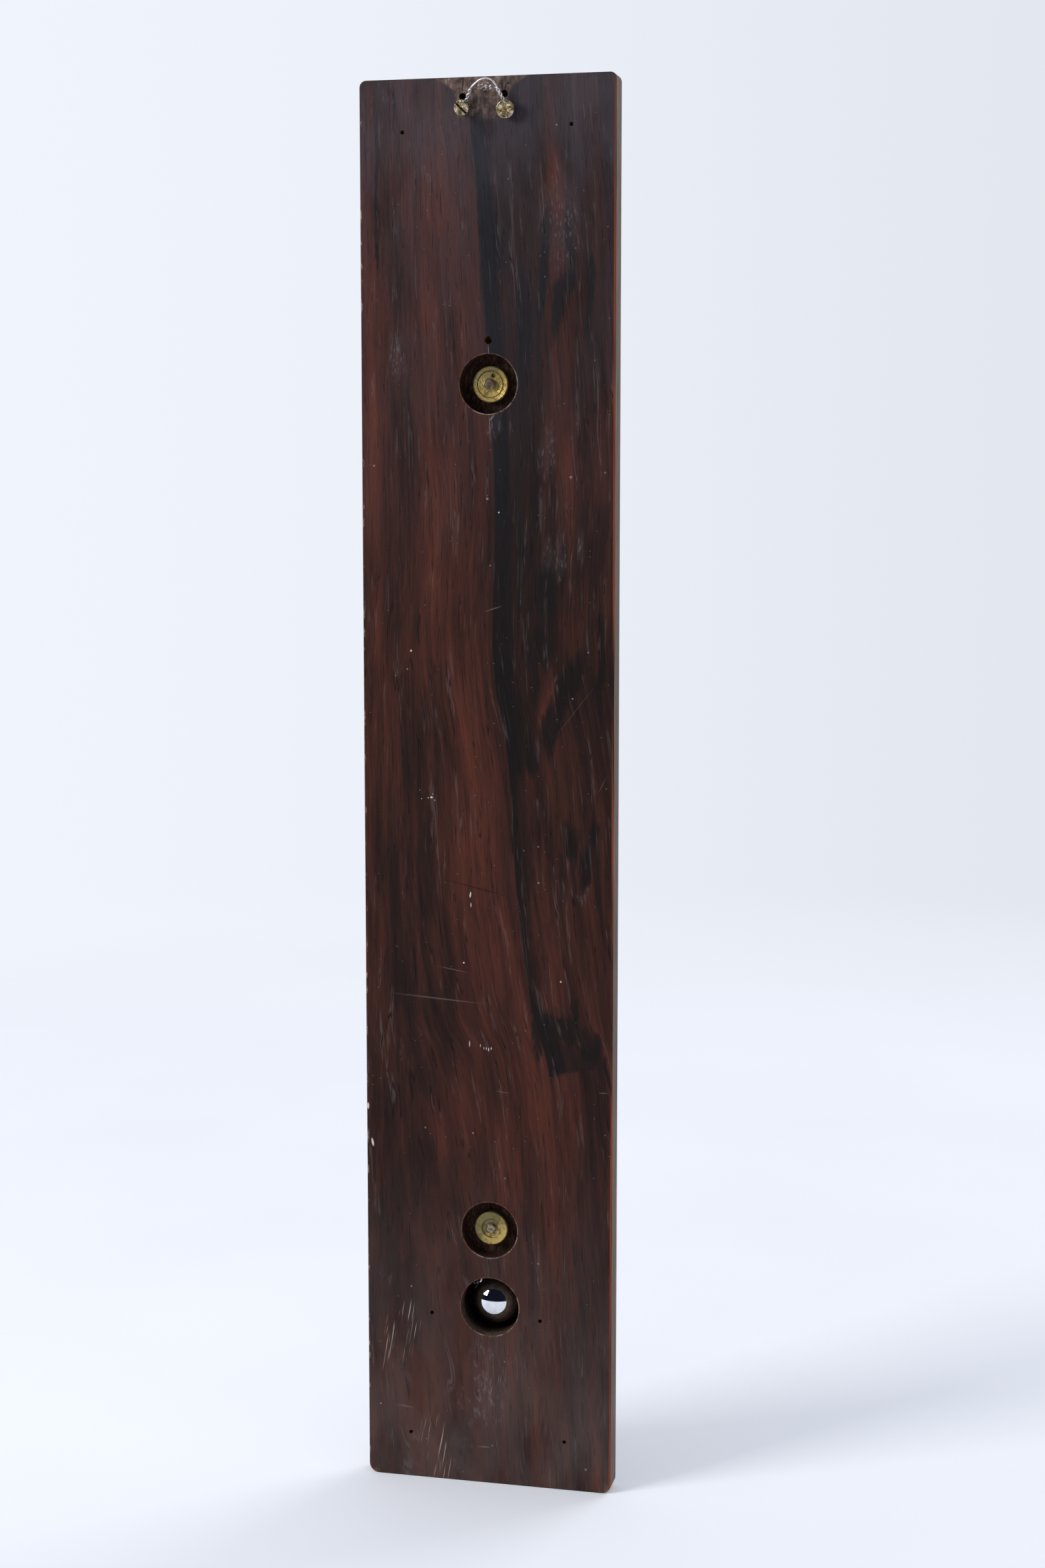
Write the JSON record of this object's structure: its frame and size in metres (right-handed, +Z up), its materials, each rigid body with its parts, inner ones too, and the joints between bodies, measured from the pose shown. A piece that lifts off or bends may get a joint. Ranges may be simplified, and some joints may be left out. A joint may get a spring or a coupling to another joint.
{
  "type": "storm glass",
  "caption": "Wall-hung storm glass: a sealed glass tube of crystals and a thermometer on a dark rosewood board, with brass brackets, a turned bulb cover and a wire hanging loop.",
  "frame": {"origin": "centre of the board's back face", "axes": "+Z up along the board, +Y out of the back towards the wall, +X to the right seen from the front"},
  "size_m": [0.084, 0.0404, 0.463],
  "materials": {
    "rosewood": "dark rosewood, worn french polish",
    "turned_rosewood": "turned and polished rosewood",
    "brass": "turned brass, lightly tarnished",
    "old_brass": "old screw brass with dull edges",
    "bronze": "greyish bronze",
    "tinned_wire": "tinned wire, worn",
    "silvered_brass": "silvered and lacquered, engraved",
    "leather": "old leather",
    "cork": "cork",
    "glass": "clear drawn glass",
    "solution": "clear, very slightly yellow liquid",
    "camphor": "white feathery crystals",
    "mercury": "liquid mirror"
  },
  "bodies": {
    "body": {"backboard": "rosewood", "bulb_cover": "turned_rosewood", "hanger_screw_left": "old_brass", "hanger_screw_right": "old_brass", "upper_stud": "bronze", "lower_stud": "bronze", "upper_nut": "brass", "lower_nut": "brass", "upper_washer": "leather", "lower_washer": "leather", "steady_pin": "bronze", "upper_bracket": "brass", "collar_strap": "brass", "strap_screws": "old_brass", "collar_liner": "cork", "lower_bracket": "brass", "cup_pad": "cork", "thermometer_scale": "silvered_brass", "storm_scale": "silvered_brass", "scale_pins": "old_brass", "cover_pins": "old_brass", "stem_staples": "old_brass", "thermometer_tube": "glass", "mercury": "mercury"},
    "hanger": {"hanging_wire": "tinned_wire"},
    "glass": {"storm_tube": "glass", "storm_solution": "solution", "camphor_crystals": "camphor", "tube_cork": "cork", "tube_ferrule": "brass"},
    "cap_seal": {"cap_washer": "leather"},
    "cap": {"tube_cap": "brass"}
  },
  "joints": [
    {"name": "wire_tilt", "type": "hinge", "parent": "body", "child": "hanger", "pos_m": [0.00011, 0.00145, 0.2216], "axis": [-0.9982, 0.0006, -0.0607], "range_deg": [-15, 10]},
    {"name": "tube_turn", "type": "hinge", "parent": "body", "child": "glass", "pos_m": [-0.0004, -0.023, 0], "axis": [0, 0, 1], "continuous": true},
    {"name": "cap_lift", "type": "slide", "parent": "glass", "child": "cap_seal", "axis": [0, 0, 1], "range_m": [0, 0.005]},
    {"name": "cap_turn", "type": "hinge", "parent": "cap_seal", "child": "cap", "pos_m": [-0.0004, -0.023, 0], "axis": [0, 0, 1], "range_deg": [0, 1800]}
  ],
  "couplings": [
    {"joint": "cap_turn", "follows": "cap_lift", "rad_per_m": 6283.2}
  ]
}
